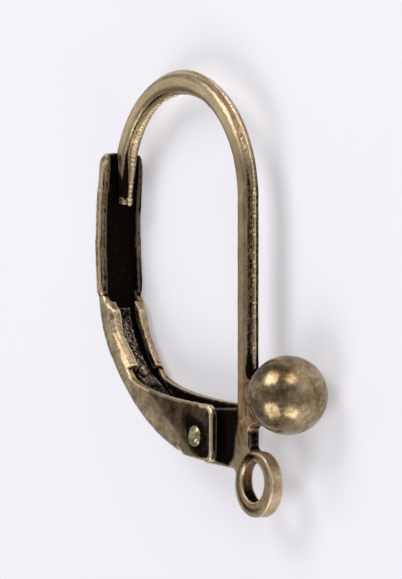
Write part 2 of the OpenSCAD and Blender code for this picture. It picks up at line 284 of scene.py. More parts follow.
# Places that are rounded off: x, y, z and radius
FLAP_STEPS = both_sides(
    (-3.55, -5.5, 0.6, 0.45),
    (-3.6, -5.7, 0.9, 0.4),
)
LEVER_ENDS = both_sides(
    (-4.0, -4.15, 0.75, 0.4),
    (-4.45, -3.85, 0.85, 0.25),
    (1.02, -9.48, 0.9, 0.35),
    (3.2, -7.85, 0.85, 0.25),
    (3.25, -9.8, 0.85, 0.25),
)
CUP_CORNERS = ((-4.35, 1.55, 0.9, 0.3), (-4.35, 1.55, -0.9, 0.35))
BLADE_MELTS = both_sides(
    (4.4, -9.4, 0.3, 0.7),
    (5.0, -8.7, 0.3, 0.5),
    (5.1, -6.4, 0.0, 0.5),
)

# Spots with a reddish blush of solder and old lacquer, in the same form
BLADE_BLUSH = (
    (5.1, -8.3, 0.2, 0.6, 1.0),
    (4.1, -8.7, 0.27, 0.4, 0.8),
    (5.3, -9.6, 0.0, 0.5, 0.4),
    (4.6, -6.9, 0.3, 0.5, 0.6),
)
LEVER_BLUSH = ((-3.0, -6.6, 0.0, 1.0, 0.6),)
WIRE_BLUSH = ((4.5, -7.2, 0.2, 0.9, 0.7),)

# Lamps: name, direction from the earring, distance and size in metres, and power in watts
LAMPS = (
    ("upper_light", (-0.15, 0.7, 0.7), 0.15, (0.085, 0.085), 0.11),
    ("lower_light", (-0.03, -0.65, 0.76), 0.15, (0.095, 0.095), 0.095),
    ("upper_front_light", (0.6, 0.76, 0.24), 0.2, (0.085, 0.085), 0.1),
    ("lower_front_light", (0.6, -0.76, 0.24), 0.2, (0.085, 0.085), 0.1),
    ("side_light", (-0.8, 0.1, 0.6), 0.15, (0.07, 0.14), 0.02),
)
LAMPS_AIM = Vector((0.0, 0.0, 0.0012))


def add_object(name, data):
    """A new object in the scene with the given mesh, curve, lamp or camera."""
    thing = bpy.data.objects.new(name, data)
    bpy.context.scene.collection.objects.link(thing)
    return thing


def mesh_from(name, clay):
    """A mesh made from the clay, which is freed."""
    mesh = bpy.data.meshes.new(name)
    clay.to_mesh(mesh)
    clay.free()
    return mesh


def evaluated_mesh(thing):
    """The object's mesh with its modifiers applied, as a new mesh; the object is removed."""
    graph = bpy.context.evaluated_depsgraph_get()
    mesh = bpy.data.meshes.new_from_object(thing.evaluated_get(graph), depsgraph=graph)
    old = thing.data
    bpy.data.objects.remove(thing)
    if isinstance(old, bpy.types.Curve):
        bpy.data.curves.remove(old)
    else:
        bpy.data.meshes.remove(old)
    return mesh


def clay_from_node(node):
    """A joined copy of a solid, brought into the hook's plane in millimetres."""
    clay = bmesh.new()
    clay.from_mesh(frame["nodes"][node].data)
    bmesh.ops.transform(clay, matrix=LAY.inverted(), verts=clay.verts)
    bmesh.ops.remove_doubles(clay, verts=clay.verts, dist=0.0005)
    return clay


def add_mesh(clay, mesh):
    """Adds a mesh to the clay and removes it."""
    clay.from_mesh(mesh)
    bpy.data.meshes.remove(mesh)


def add_lump(clay, centre, radii, turn=0.0):
    """An egg-shaped lump of metal, turned in the hook's plane."""
    place = Matrix.Translation(centre) @ Matrix.Rotation(turn, 4, "Z") @ Matrix.Diagonal((*radii, 1.0))
    bmesh.ops.create_icosphere(clay, subdivisions=4, radius=1.0, matrix=place)


def knead(name, clay, grain, rounding):
    """Melts overlapping lumps into one skin of even faces and rounds its edges."""
    thing = add_object(name, mesh_from(name, clay))
    remesh = thing.modifiers.new("skin", "REMESH")
    remesh.mode = "VOXEL"
    remesh.voxel_size = grain * 1.0
    smooth = thing.modifiers.new("rounding", "SMOOTH")
    smooth.factor = 0.5
    smooth.iterations = rounding
    return evaluated_mesh(thing)


def coordinates(mesh):
    """The mesh's points, as rows of x, y and z."""
    values = np.empty(len(mesh.vertices) * 3)
    mesh.vertices.foreach_get("co", values)
    return values.reshape(-1, 3)


def normals(mesh):
    """The outward direction at each point."""
    values = np.empty(len(mesh.vertices) * 3, np.float32)
    mesh.vertex_normals.foreach_get("vector", values)
    return values.reshape(-1, 3).astype(float)


def edge_pairs(mesh):
    """The two points of each edge."""
    values = np.empty(len(mesh.edges) * 2, np.int32)
    mesh.edges.foreach_get("vertices", values)
    return values.reshape(-1, 2)


def set_coordinates(mesh, values):
    """Moves the mesh's points."""
    mesh.vertices.foreach_set("co", values.ravel())
    mesh.update()


def neighbour_mean(values, pairs, count):
    """For each vertex, the mean of a value over its neighbours."""
    values = values.reshape(count, -1)
    degree = np.bincount(pairs.ravel(), minlength=count)
    out = np.empty_like(values)
    for axis in range(values.shape[1]):
        column = values[:, axis]
        total = np.bincount(pairs[:, 0], column[pairs[:, 1]], count)
        total += np.bincount(pairs[:, 1], column[pairs[:, 0]], count)
        out[:, axis] = total / np.maximum(degree, 1)
    return out


def store(mesh, name, values):
    """Stores a value for each point, which the materials read by its name."""
    attribute = mesh.attributes.new(name, "FLOAT", "POINT")
    attribute.data.foreach_set("value", values.astype(np.float32))


def soft_spot(values, centre, width):
    """1 at the centre, fading to 0 within about two widths on each side."""
    return np.exp(-((values - centre) / width) ** 2)


def fade_in(values, start, width):
    """0 up to the start, and rising straight from there to 1 over the width."""
    return np.clip((values - start) / width, 0, 1)


def roughen(mesh, depth, scale, seed):
    """Moves the skin in and out by a soft noise, as hand finishing and casting leave it."""
    places = coordinates(mesh)
    directions = normals(mesh)
    shift = Vector((seed * 13.7, seed * 5.1, seed * 2.3))
    waves = np.array([noise.fractal(Vector(p) * scale + shift, 0.9, 2.1, 3) for p in places])
    set_coordinates(mesh, places + depth * directions * waves[:, None])


def melt(mesh, weight, rounds, give_back):
    """Evens the skin out by a weight per vertex. What each round shrinks is given back or not."""
    places = coordinates(mesh)
    pairs = edge_pairs(mesh)
    amounts = (0.6, -0.62) if give_back else (0.6,)
    for _ in range(rounds):
        for amount in amounts:
            around = neighbour_mean(places, pairs, len(places))
            places += amount * weight[:, None] * (around - places)
    set_coordinates(mesh, places)


def round_off(mesh, spots, rounds):
    """Rounds the skin off about places given as x, y, z and radius."""
    places = coordinates(mesh)
    weight = np.zeros(len(places))
    for x, y, z, radius in spots:
        away = np.linalg.norm(places - np.array((x, y, z)), axis=1)
        weight = np.maximum(weight, soft_spot(away, 0, radius))
    melt(mesh, weight, rounds, False)


def even_seams(mesh, seams, rounds):
    """Evens out the fine steps where two bends meet: bend centre x, y, heading and width."""
    places = coordinates(mesh)
    weight = np.zeros(len(places))
    for x, y, heading, width in seams:
        turned = np.degrees(np.arctan2(places[:, 0] - x, y - places[:, 1]))
        weight = np.maximum(weight, soft_spot(turned, heading, width))
    melt(mesh, weight, rounds, True)


def mark_relief(mesh, softness=3, gain=0.25, more=0.0):
    """Stores how far each point stands out as an edge, above 0, or lies in a crease, below 0.

    Softness is how many rounds even this out, gain scales it, and more is added.
    """
    places = coordinates(mesh)
    pairs = edge_pairs(mesh)
    count = len(places)
    step = np.linalg.norm(places[pairs[:, 0]] - places[pairs[:, 1]], axis=1).mean()
    bend = ((places - neighbour_mean(places, pairs, count)) * normals(mesh)).sum(axis=1)
    bend = bend / step ** 2
    for _ in range(softness):
        bend = 0.4 * bend + 0.6 * neighbour_mean(bend, pairs, count)[:, 0]
    store(mesh, "relief", np.clip(bend * gain + more, -1.0, 1.0))


def even_rays(count):
    """Directions spread evenly over a sphere."""
    golden = math.pi * (3 - math.sqrt(5))
    rays = []
    for i in range(count):
        height = 1 - (i + 0.5) * 2 / count
        ring = math.sqrt(1 - height ** 2)
        rays.append(Vector((ring * math.cos(golden * i), ring * math.sin(golden * i), height)))
    return rays


def wall_share(walls, start, out, rays, reach):
    """The share of a point's outlook that walls within reach take up, near ones counting more."""
    ahead = walls.ray_cast(start, out, reach)
    seen = STRAIGHT_OUT
    blocked = 0.0 if ahead[3] is None else STRAIGHT_OUT * (1 - 0.4 * ahead[3] / reach)
    for ray in rays:
        slope = ray.dot(out)
        if slope < GRAZING:
            continue
        seen += slope
        hit = walls.ray_cast(start, ray, reach)
        if hit[3] is not None:
            blocked += slope * (1 - 0.5 * hit[3] / reach)
    return blocked / seen


def mark_shade_and_patina(mesh, walls, reach, spots=(), channel=None, more=0.0):
    """Stores painted shade under walls and inside the channel, and the given spots of painted shade,
    light and patina.
    """
    rays = even_rays(count=14)
    places = coordinates(mesh)
    hidden = np.zeros(len(places))
    for i, (place, out) in enumerate(zip(places, normals(mesh))):
        out = Vector(out)
        start = Vector(place) + out * RAY_START
        hidden[i] = wall_share(walls, start, out, rays, reach)
        if channel is not None:
            over = channel.ray_cast(start, Vector((0, 0, 1)), reach)
            under = channel.ray_cast(start, Vector((0, 0, -1)), reach)
            if over[3] is not None and under[3] is not None:
                hidden[i] = CHANNEL_SHADE
    pairs = edge_pairs(mesh)
    for _ in range(4):
        hidden = 0.5 * hidden + 0.5 * neighbour_mean(hidden, pairs, len(places))[:, 0]
    add_spots(hidden, places, spots)
    store(mesh, "shade_and_patina", hidden + more)


def add_spots(values, places, spots):
    """Adds soft spots to the values, given as x, y, z, radius and amount."""
    for x, y, z, radius, amount in spots:
        away = np.linalg.norm(places - np.array((x, y, z)), axis=1)
        values += amount * soft_spot(away, 0, radius)


def mark_blush(mesh, spots=(), more=0.0):
    """Stores how reddish the metal is at the given spots."""
    blush = np.zeros(len(mesh.vertices)) + more
    add_spots(blush, coordinates(mesh), spots)
    store(mesh, "blush", np.minimum(blush, 1.0))


def forward_face_shade(mesh):
    """How much painted shade the faces that look forward get, in the cup and at the ears' ends."""
    places = coordinates(mesh)
    forward = fade_in(normals(mesh)[:, 0], 0.6, 0.3)
    cup = fade_in(places[:, 1], -4.3, 0.2)
    ears = fade_in(places[:, 0], 3.0, 0.2)
    return forward * (0.55 * cup + 0.6 * ears)


def ear_marks(mesh):
    """How dark the ears' faces are, away from the fold, and how near their front rim is, worn and painted
    as a bright edge highlight.
    """
    places = coordinates(mesh)
    outside = fade_in(np.abs(places[:, 2]), 0.82, 0.05)
    above = places[:, 1] - np.interp(places[:, 0], EAR_SHADE_X, EAR_SHADE_Y)
    face = fade_in(above, 0, 0.45) * fade_in(places[:, 0], -1.6, 0.6) * outside
    over = places[:, 0] - (EAR_FRONT - EAR_CORNER)
    beside = np.abs(places[:, 1] - EAR_MIDDLE) - (EAR_HALF - EAR_CORNER)
    past_corner = np.hypot(np.maximum(over, 0), np.maximum(beside, 0))
    from_rim = past_corner + np.minimum(np.maximum(over, beside), 0) - EAR_CORNER
    rim = soft_spot(from_rim, -0.04, 0.06) * outside * fade_in(places[:, 0], 2.3, 0.5)
    return face, rim


def ring_marks(mesh):
    """How dark the ring's flat face is, and how near a point lies to the wall of its hole."""
    places = coordinates(mesh)
    away = np.hypot(places[:, 0] - RING_AT[0], places[:, 1] - RING_AT[1])
    face = soft_spot(away, 1.03, 0.14) * fade_in(np.abs(places[:, 2]), 0.15, 0.1)
    hole = 1 / (1 + np.exp((away - 0.86) / 0.015))
    return face, hole


def stripe(turned, count, middle, width, beads=0.0):
    """A stripe along the swept wire, by the angle round its section, and a value for the beads."""
    marks = np.full(count, beads)
    marks[:len(turned)] = soft_spot(turned, middle, width)
    return marks


def wire_marks(places, turned):
    """How dark the wire is painted, as a dark reflection beside its outer ridge and as shade inside the
    arch, less where it is bare or lit.
    """
    beside = stripe(turned, len(places), *OUTER_SHADE_STRIPE)
    beside *= np.interp(places[:, 1], (-7.5, -6.0, 1.0, 3.4), (0.5, 1.0, 1.0, 1.1))
    beside *= np.interp(places[:, 0], (-0.5, 2.0), (0.4, 1.0))
    inside = stripe(turned, len(places), *INNER_SHADE_STRIPE)
    inside *= np.interp(places[:, 0], (-4.2, -3.0, 3.3, 4.1), (0.5, 1.0, 1.0, 0.0))
    bare_or_lit = stripe(turned, len(places), *BARE_OR_LIT_STRIPE, beads=1.0)
    bare_or_lit *= np.interp(places[:, 1], (1.5, 3.0), (1.0, 0.3)) * (places[:, 0] < 0)
    return 0.57 * beside + 1.22 * inside - 2.2 * bare_or_lit


def walls_of(*nodes):
    """The surfaces of the given solids, as a tree in which rays look for walls."""
    clay = bmesh.new()
    for node in nodes:
        add_mesh(clay, mesh_from("walls", clay_from_node(node)))
    tree = BVHTree.FromBMesh(clay)
    clay.free()
    return tree


def finish_piece(name, mesh, material, body, replaced=()):
    """Lays a finished mesh in its place and fastens it to its body."""
    mesh.transform(LAY)
    mesh.materials.clear()
    mesh.materials.append(material)
    mesh.polygons.foreach_set("use_smooth", np.ones(len(mesh.polygons), bool))
    piece = add_object(name, mesh)
    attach(piece, body)
    if replaced:
        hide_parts(*replaced)


def new_tree(name, sockets):
    """A geometry node tree with the given inputs, a material and one geometry output."""
    tree = bpy.data.node_groups.new(name, "GeometryNodeTree")
    add_socket = tree.interface.new_socket
    add_socket("Geometry", in_out="INPUT", socket_type="NodeSocketGeometry")
    for socket, kind, value in sockets:
        add_socket(socket, in_out="INPUT", socket_type=kind).default_value = value
    add_socket("Material", in_out="INPUT", socket_type="NodeSocketMaterial")
    add_socket("Geometry", in_out="OUTPUT", socket_type="NodeSocketGeometry")
    return tree, tree.nodes.new("NodeGroupInput").outputs, tree.nodes.new("NodeGroupOutput").inputs


def add_node(tree, kind, inputs=None, **settings):
    """A new node with its settings, and its inputs set to values or linked to sockets."""
    node = tree.nodes.new(kind)
    for name, value in settings.items():
        setattr(node, name, value)
    for key, value in (inputs or {}).items():
        if isinstance(value, bpy.types.NodeSocket):
            tree.links.new(value, node.inputs[key])
        else:
            node.inputs[key].default_value = value
    return node


def math_node(tree, operation, *values):
    """The output of a math node, whose inputs are sockets or numbers."""
    return add_node(tree, "ShaderNodeMath", dict(enumerate(values)), operation=operation).outputs[0]


def sums(tree):
    """Functions that add, subtract and multiply in a node tree."""
    return [partial(math_node, tree, kind) for kind in ("ADD", "SUBTRACT", "MULTIPLY")]


def end_tree(tree, shape, given, result):
    """Ends a geometry node tree in Realize Instances and Set Material."""
    real = add_node(tree, "GeometryNodeRealizeInstances", {0: shape})
    paint = add_node(tree, "GeometryNodeSetMaterial", {
        "Geometry": real.outputs[0], "Material": given["Material"],
    })
    tree.links.new(paint.outputs[0], result[0])


def apply_tree(thing, tree, values):
    """Adds the tree as a modifier and sets its named inputs by their identifiers."""
    modifier = thing.modifiers.new(tree.name, "NODES")
    modifier.node_group = tree
    for item in tree.interface.items_tree:
        if item.in_out == "INPUT" and item.name in values:
            modifier[item.identifier] = values[item.name]


def wire_tree():
    """Sweeps the wire's flattened section, with its two parting ridges, along the path."""
    tree, given, result = new_tree("swept_wire", [
        ("Width", FLOAT, 0.84),
        ("Thickness", FLOAT, 0.68),
        ("Ridge Height", FLOAT, 0.03),
        ("Ridge Width", FLOAT, 0.16),
        ("Step", FLOAT, 0.06),
    ])
    add, less, times = sums(tree)
    circle = add_node(tree, "GeometryNodeCurvePrimitiveCircle", {
        "Resolution": SECTION_POINTS, "Radius": 1.0,
    })
    where = add_node(tree, "GeometryNodeInputPosition")
    split = add_node(tree, "ShaderNodeSeparateXYZ", {0: where.outputs[0]}).outputs

    # The section is a round-ended bar, with a ridge between shallow valleys at each end
    half = times(given["Thickness"], 0.5)
    flat = less(times(given["Width"], 0.5), half)
    side = math_node(tree, "SIGN", split[0])
    across = times(split[1], half)
    ratio = math_node(tree, "DIVIDE", across, times(given["Ridge Width"], 0.5))
    square = times(ratio, ratio)
    crest = math_node(tree, "EXPONENT", times(square, -1.0))
    valley = math_node(tree, "EXPONENT", times(square, -0.25))
    flank = math_node(tree, "EXPONENT", times(square, -0.075))
    ridge = times(given["Ridge Height"], less(times(crest, 2.0), valley))
    relief = less(times(crest, 1.2), times(flank, 0.6))
    out = times(side, add(flat, ridge))
    place = add_node(tree, "ShaderNodeCombineXYZ", {0: add(times(split[0], half), out), 1: across})
    marked = add_node(tree, "GeometryNodeStoreNamedAttribute", {
        "Geometry": circle.outputs["Curve"], "Name": "relief", "Value": relief,
    }, data_type="FLOAT", domain="POINT")
    shaped = add_node(tree, "GeometryNodeSetPosition", {
        "Geometry": marked.outputs[0], "Position": place.outputs[0],
    })

    upright = add_node(tree, "GeometryNodeSetCurveNormal", {"Curve": given["Geometry"]}, mode="Z_UP")
    even = add_node(tree, "GeometryNodeResampleCurve", {
        "Curve": upright.outputs[0], "Length": given["Step"],
    }, mode="LENGTH")
    radius = add_node(tree, "GeometryNodeInputRadius")
    sweep = add_node(tree, "GeometryNodeCurveToMesh", {
        "Curve": even.outputs[0], "Profile Curve": shaped.outputs[0],
        "Scale": radius.outputs[0], "Fill Caps": True,
    })
    end_tree(tree, sweep.outputs[0], given, result)
    return tree


def bead_tree():
    """Sets small uneven beads along a line, as a rubbed parting ridge shows."""
    tree, given, result = new_tree("parting_beads", [
        ("Spacing", FLOAT, 0.17),
        ("Radius", FLOAT, 0.06),
        ("Least Size", FLOAT, 0.6),
        ("Seed", "NodeSocketInt", 0),
    ])
    points = add_node(tree, "GeometryNodeCurveToPoints", {
        "Curve": given["Geometry"], "Length": given["Spacing"],
    }, mode="LENGTH")
    bead = add_node(tree, "GeometryNodeMeshIcoSphere", {"Subdivisions": 2, "Radius": given["Radius"]})
    uneven = add_node(tree, "FunctionNodeRandomValue", data_type="FLOAT_VECTOR", inputs={
        0: given["Least Size"], 1: (1.35, 1.3, 1.3), "Seed": given["Seed"],
    })
    scatter = add_node(tree, "GeometryNodeInstanceOnPoints", {
        "Points": points.outputs["Points"], "Instance": bead.outputs["Mesh"], "Scale": uneven.outputs[0],
    })
    end_tree(tree, scatter.outputs[0], given, result)
    return tree


def path_curve(name, points):
    """A curve through points of x, y and the wire's relative thickness there."""
    curve = bpy.data.curves.new(name, "CURVE")
    curve.dimensions = "3D"
    spline = curve.splines.new("POLY")
    spline.points.add(len(points) - 1)
    for point, (x, y, thick) in zip(spline.points, points):
        point.co = (x, y, 0.0, 1.0)
        point.radius = thick
    return add_object(name, curve)


def hook_path(s, turn, inset=0.0):
    """The wire's middle line as leg, arch and taper, or a line set in from it, or out below 0."""
    front = s.arch_radius - inset
    back = s.back_radius - inset
    back_y = s.arch_radius - s.back_radius
    leg = [(front, s.leg_end, LEG_END_THICKNESS), (front, s.leg_melt, 1.0)]
    leg += [(front, s.leg_melt * (1 - i / LEG_STEPS), 1.0) for i in range(1, LEG_STEPS)]
    arch = []
    for i in range(ARCH_STEPS + 1):
        angle = turn * i / ARCH_STEPS
        if angle < math.pi / 2:
            arch.append((front * math.cos(angle), front * math.sin(angle), 1.0))
        else:
            arch.append((back * math.cos(angle), back_y + back * math.sin(angle), 1.0))
    end = Vector(arch[-1][:2])
    tip = Vector((s.tip_x + inset * TIP_INSET, s.tip_y))
    taper = []
    for i in range(1, TAPER_STEPS + 1):
        way = i / TAPER_STEPS
        place = end.lerp(tip, way)
        taper.append((place.x, place.y, 1 - TIP_THINNER * way ** TAPER_GAIN))
    return leg, arch, taper


def principled(name):
    """A new material, its node tree and its shader."""
    material = bpy.data.materials.new(name)
    material.use_nodes = True
    return material, material.node_tree, material.node_tree.nodes["Principled BSDF"]


def mix_colour(tree, share_of_b, a, b):
    """The mix of two colour sockets."""
    return add_node(tree, "ShaderNodeMix", {0: share_of_b, 6: a, 7: b}, data_type="RGBA").outputs[2]


def ramp(tree, value, low, high, to_low=0.0, to_high=1.0):
    """A smooth step from one value to another between two limits."""
    node = add_node(tree, "ShaderNodeMapRange", {
        "Value": value, "From Min": low, "From Max": high, "To Min": to_low, "To Max": to_high,
    }, interpolation_type="SMOOTHSTEP")
    return node.outputs["Result"]


def noise_value(tree, where, scale, detail=3.0, roughness=0.55):
    """A noise between 0 and 1, with its scale in waves to the metre."""
    node = add_node(tree, "ShaderNodeTexNoise", {
        "Vector": where, "Scale": scale, "Detail": detail, "Roughness": roughness,
    })
    return node.outputs["Fac"]


def tarnish_group():
    """Tarnish that stays in hollows and creases and is rubbed off along edges, with the painted shade and
    light stored on each piece.
    """
    tree = bpy.data.node_groups.new("tarnished_metal", "ShaderNodeTree")
    add_socket = tree.interface.new_socket
    for name, kind, value in (
        ("Rubbed", COLOUR, (0.8, 0.7, 0.5, 1)),
        ("Middle", COLOUR, (0.4, 0.3, 0.2, 1)),
        ("Patina_And_Shade", COLOUR, (0.03, 0.02, 0.01, 1)),
        ("Stain", COLOUR, (0.12, 0.055, 0.02, 1)),
        ("Relief", FLOAT, 0.0),
        ("Shade_And_Patina", FLOAT, 0.0),
        ("Blush", FLOAT, 0.0),
        ("Copper", COLOUR, (0.3, 0.12, 0.06, 1)),
        ("Wear", FLOAT, 1.0),
        ("Tarnish_And_Shade", FLOAT, 1.0),
        ("Gloss", FLOAT, 0.3),
        ("Speckle", FLOAT, 0.2),
        ("Flow", "NodeSocketVector", (0, 0, 0)),
    ):
        add_socket(name, in_out="INPUT", socket_type=kind).default_value = value
    for name in ("Color", "Roughness", "Metallic", "Specular", "Height"):
        kind = COLOUR if name == "Color" else FLOAT
        add_socket(name, in_out="OUTPUT", socket_type=kind)
    given = tree.nodes.new("NodeGroupInput").outputs
    result = tree.nodes.new("NodeGroupOutput").inputs
    add, less, times = sums(tree)
    where = tree.nodes.new("ShaderNodeTexCoord").outputs["Object"]
    clouds = noise_value(tree, where, 900.0)
    specks = noise_value(tree, where, 7000.0, 2.0, 0.7)
    grain = noise_value(tree, where, 16000.0, 2.0, 0.6)
    streaks = noise_value(tree, given["Flow"], 5000.0, 3.0, 0.6)

    # How much an edge is rubbed bright, and how dark a point is: patina in a hollow or crease, and
    # painted shade
    loose = times(less(specks, 0.5), 0.75)
    edge = ramp(tree, add(given["Relief"], loose), 0.1, 0.5)
    crease = ramp(tree, less(loose, given["Relief"]), 0.05, 0.5)
    patches = add(times(less(clouds, 0.5), 0.5), times(less(grain, 0.5), given["Speckle"]))
    walled = ramp(tree, add(given["Shade_And_Patina"], patches), 0.16, 0.62)
    darkened = times(math_node(tree, "MAXIMUM", walled, crease), given["Tarnish_And_Shade"])
    rubbed = times(times(edge, given["Wear"]), less(1.0, times(darkened, 0.85)))

    # How bright the open faces are, unevenly, and most where they are rubbed bare or painted light
    uneven = ramp(tree, add(times(clouds, 0.6), times(streaks, 0.4)), 0.38, 0.66)
    mottled = add(times(clouds, 0.3), times(add(streaks, grain), 0.35))
    bare_or_lit = ramp(tree, less(times(loose, 0.4), given["Shade_And_Patina"]), 0.0, 0.7, 0.0, 0.7)
    bare_or_lit = times(bare_or_lit, ramp(tree, mottled, 0.42, 0.58, 0.6, 1.25))
    bright = math_node(tree, "MAXIMUM", times(uneven, 0.55), bare_or_lit)

    base = mix_colour(tree, given["Blush"], given["Middle"], given["Copper"])
    open_face = mix_colour(tree, bright, base, given["Rubbed"])
    stain = mix_colour(tree, darkened, given["Stain"], given["Patina_And_Shade"])
    toned = mix_colour(tree, darkened, open_face, stain)
    dull = add(given["Gloss"], times(darkened, 0.3))
    free = less(1.0, darkened)
    for name, value in (
        ("Color", mix_colour(tree, rubbed, toned, given["Rubbed"])),
        ("Roughness", add(dull, times(less(specks, 0.5), 0.25))),
        ("Metallic", free),
        ("Specular", times(free, 0.5)),
        ("Height", add(times(grain, 0.4), times(streaks, 0.6))),
    ):
        tree.links.new(value, result[name])
    return tree


def worn_metal(name, rubbed, middle, wear, gloss, bump, tarnish_and_shade=1.0, speckle=0.2, flow=False):
    """A tarnished metal whose marks come from the piece's own relief, painted shade and light, and blush.
    """
    material, tree, shader = principled(name)
    patina_and_shade = bpy.context.scene.earring_surface.dark
    inputs = {"Wear": wear, "Tarnish_And_Shade": tarnish_and_shade, "Gloss": gloss, "Speckle": speckle}
    colours = {"Rubbed": rubbed, "Middle": middle, "Patina_And_Shade": patina_and_shade, "Copper": COPPER}
    for socket, value in colours.items():
        inputs[socket] = (*value, 1.0)
    for socket in ("Relief", "Shade_And_Patina", "Blush"):
        node = add_node(tree, "ShaderNodeAttribute", attribute_name=socket.lower())
        inputs[socket] = node.outputs["Fac"]
    if flow:
        node = add_node(tree, "ShaderNodeAttribute", attribute_name="flow")
        inputs["Flow"] = node.outputs["Vector"]
    else:
        inputs["Flow"] = add_node(tree, "ShaderNodeTexCoord").outputs["Object"]
    tarnished = bpy.data.node_groups.get("tarnished_metal") or tarnish_group()
    group = add_node(tree, "ShaderNodeGroup", inputs, node_tree=tarnished)
    for output, socket in (("Color", "Base Color"), ("Roughness", "Roughness"),
                           ("Metallic", "Metallic"), ("Specular", "Specular IOR Level")):
        tree.links.new(group.outputs[output], shader.inputs[socket])
    node = add_node(tree, "ShaderNodeBump", {
        "Strength": 1.0, "Distance": bump * MM, "Height": group.outputs["Height"],
    })
    tree.links.new(node.outputs[0], shader.inputs["Normal"])
    return material


class EARRING_OT_wire(Operator):
    """Sweeps the ear wire with its parting ridges and sets beads along both of them"""
    bl_idname = "earring.wire"
    bl_label = "Ear wire"

    def execute(self, context):
        sizes = context.scene.earring_wire
        s = in_mm(sizes)
        surface = context.scene.earring_surface
        look = worn_metal("antique_brass", surface.bright, surface.middle,
                          wear=0.9, gloss=0.36, bump=0.012, speckle=0.55, flow=True)
        leg, arch, taper = hook_path(s, sizes.arch_turn)
        path = path_curve("wire_path", leg + arch + taper)
        step = s.step * 1
        apply_tree(path, wire_tree(), {
            "Width": s.width, "Thickness": s.thickness, "Ridge Height": s.ridge_height,
            "Ridge Width": s.ridge_width, "Step": step, "Material": look,
        })
        wire = evaluated_mesh(path)
        swept = len(wire.vertices)
        relief = np.empty(swept, np.float32)
        wire.attributes["relief"].data.foreach_get("value", relief)
        creased = relief < 0
        relief[creased] *= np.interp(coordinates(wire)[:, 1], (-1.0, 2.5), (1.0, 0.45))[creased]

        beads = bead_tree()
        _, arch, taper = hook_path(s, sizes.arch_turn, inset=s.width / 2)
        inner = arch[INNER_FROM:] + taper
        leg, arch, _ = hook_path(s, sizes.arch_turn, inset=-s.width / 2)
        outer = leg[OUTER_FROM:] + arch[:OUTER_TO]
        clay = bmesh.new()
        add_mesh(clay, wire)
        for line, radius, least, seed in ((inner, s.bead, 0.6, sizes.seed),
                                          (outer, s.bead * 0.85, 0.3, sizes.seed + 1)):
            ridge = path_curve("ridge", line)
            apply_tree(ridge, beads, {
                "Spacing": s.bead_gap, "Radius": radius, "Least Size": least, "Seed": seed,
                "Material": look,
            })
            add_mesh(clay, evaluated_mesh(ridge))
        mesh = mesh_from("ear_wire", clay)
        mesh.attributes.remove(mesh.attributes["relief"])

        # The flow runs round the wire's section, and slowly along it, so that streaks follow it
        flow = coordinates(mesh) * MM
        count = np.arange(swept)
        around = count % SECTION_POINTS * (2 * math.pi / SECTION_POINTS)
        flow[:swept, 0] = s.width / 2 * MM * np.cos(around)
        flow[:swept, 1] = s.width / 2 * MM * np.sin(around)
        flow[:swept, 2] = count // SECTION_POINTS * step * MM * 0.12
        attribute = mesh.attributes.new("flow", "FLOAT_VECTOR", "POINT")
        attribute.data.foreach_set("vector", flow.astype(np.float32).ravel())

        roughen(mesh, depth=0.008, scale=2.2, seed=3)
        store(mesh, "relief", np.append(relief, np.full(len(flow) - swept, BEAD_RELIEF)))
        turned = np.abs(np.arctan2(flow[:swept, 1], flow[:swept, 0]))
        marks = wire_marks(coordinates(mesh), turned)
        # Painted shade where the lever's walls stand near, with the wire's painted stripes and spots
        mark_shade_and_patina(mesh, walls_of("lever"), reach=1.2, spots=WIRE_SHADE_AND_LIGHT_SPOTS, more=marks)
        mark_blush(mesh, WIRE_BLUSH)
        finish_piece("ear_wire", mesh, look, "hook", ("ear_hook",))
        return {"FINISHED"}


def trim_blade(mesh, s, ball):
    """Brings the kneaded blade to its size and tucks its skin in under the ball."""
    places = coordinates(mesh)
    from_ball = places - np.array((ball.x, ball.y, 0.0))
    away = np.linalg.norm(from_ball, axis=1)

    # The blade is thinner than the leg
    half_thick = np.interp(places[:, 1], BLADE_HEIGHTS, BLADE_HALVES)
    places[:, 2] = np.clip(places[:, 2], -half_thick, half_thick)

    # The web above the ball is drawn in to the wire's round side
    core = np.array((s.arch_radius + (s.width - s.thickness) / 2, 0.0))
    from_core = places[:, [0, 2]] - core
    reach = np.linalg.norm(from_core, axis=1)
    limit = np.interp(places[:, 1], WEB_HEIGHTS, (3.0, s.thickness / 2 - 0.03))
    drawn_in = (from_core[:, 0] > 0) & (reach > limit)
    from_core[drawn_in] *= (limit / np.maximum(reach, 0.001))[drawn_in, None]
    places[:, [0, 2]] = core + from_core

    # So is the wall of the ring's hole, towards the ring's centre
    from_hole = places[:, :2] - np.array(RING_AT)
    radius = np.linalg.norm(from_hole, axis=1)
    inwards = s.hole_trim * soft_spot(radius, 0.84, 0.14) / radius
    places[:, :2] -= from_hole * inwards[:, None]

    under = away < ball.radius + 0.02
    places[under] -= from_ball[under] * (1 - 0.93 * ball.radius / away[under])[:, None]
    set_coordinates(mesh, places)


